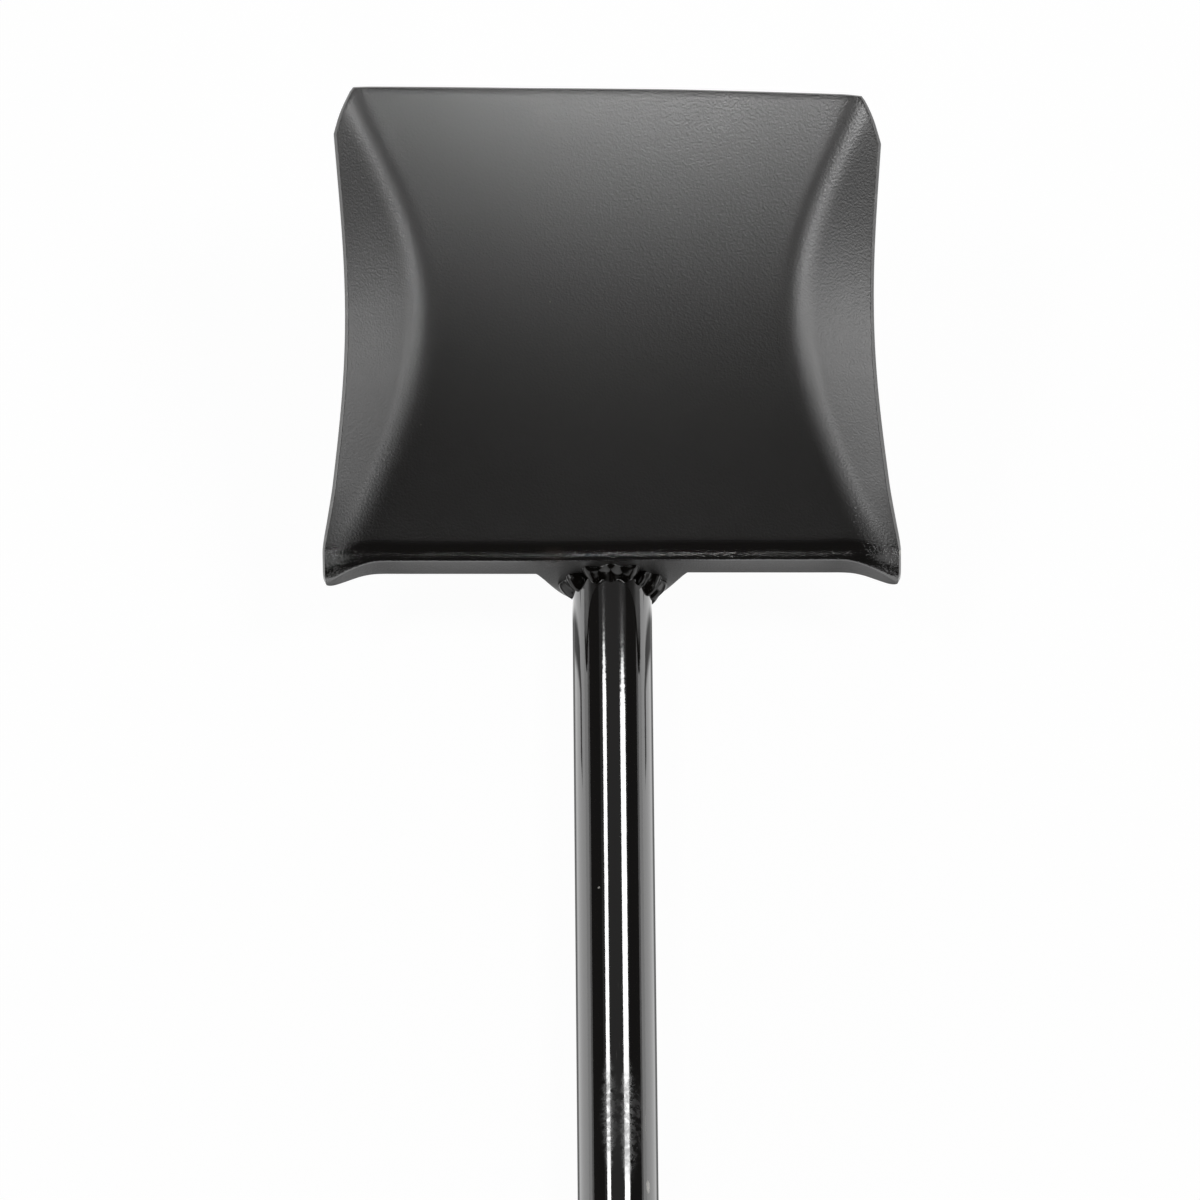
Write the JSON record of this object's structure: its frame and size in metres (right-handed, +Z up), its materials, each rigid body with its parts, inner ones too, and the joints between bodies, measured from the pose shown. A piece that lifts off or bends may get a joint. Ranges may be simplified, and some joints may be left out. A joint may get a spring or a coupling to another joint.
{
  "type": "square point spade",
  "caption": "Square point spade: a pressed blade with raised wings and a turned foot step, welded to a steel tube shaft with a strapped D grip.",
  "frame": {"origin": "the spade lies on its back on a floor, on the blade's tab and the grip's collars: the origin is on the floor, below the middle of its length and width", "axes": "+Y is along the shaft from the grip to the blade's tip, +Z is up, out of the blade's hollow side, and +X is to the right, seen from above with the blade away from the reader"},
  "size_m": [0.2298, 0.9976, 0.1414],
  "materials": {
    "blade": "satin black baked enamel",
    "shaft_tube": "gloss black baked enamel",
    "weld_front": "gloss black baked enamel",
    "weld_left": "gloss black baked enamel",
    "weld_right": "gloss black baked enamel",
    "weld_back": "gloss black baked enamel",
    "strap_left": "gloss black baked enamel",
    "strap_right": "gloss black baked enamel",
    "strap_weld_left_front": "gloss black baked enamel",
    "strap_weld_left_back": "gloss black baked enamel",
    "strap_weld_right_front": "gloss black baked enamel",
    "strap_weld_right_back": "gloss black baked enamel",
    "shaft_end_plug": "moulded, matte",
    "grip_sleeve": "moulded, matte",
    "grip_spacer_tube": "bright zinc plate",
    "grip_bolt": "bright zinc plate",
    "grip_nut": "bright zinc plate",
    "grip_washer_left": "bright zinc plate",
    "grip_washer_right": "bright zinc plate"
  },
  "bodies": {
    "root": {"blade": "blade", "shaft_tube": "shaft_tube", "weld_front": "weld_front", "weld_left": "weld_left", "weld_right": "weld_right", "weld_back": "weld_back", "strap_left": "strap_left", "strap_right": "strap_right", "strap_weld_left_front": "strap_weld_left_front", "strap_weld_left_back": "strap_weld_left_back", "strap_weld_right_front": "strap_weld_right_front", "strap_weld_right_back": "strap_weld_right_back", "shaft_end_plug": "shaft_end_plug", "grip_sleeve": "grip_sleeve", "grip_spacer_tube": "grip_spacer_tube", "grip_bolt": "grip_bolt", "grip_nut": "grip_nut", "grip_washer_left": "grip_washer_left", "grip_washer_right": "grip_washer_right"}
  },
  "joints": []
}
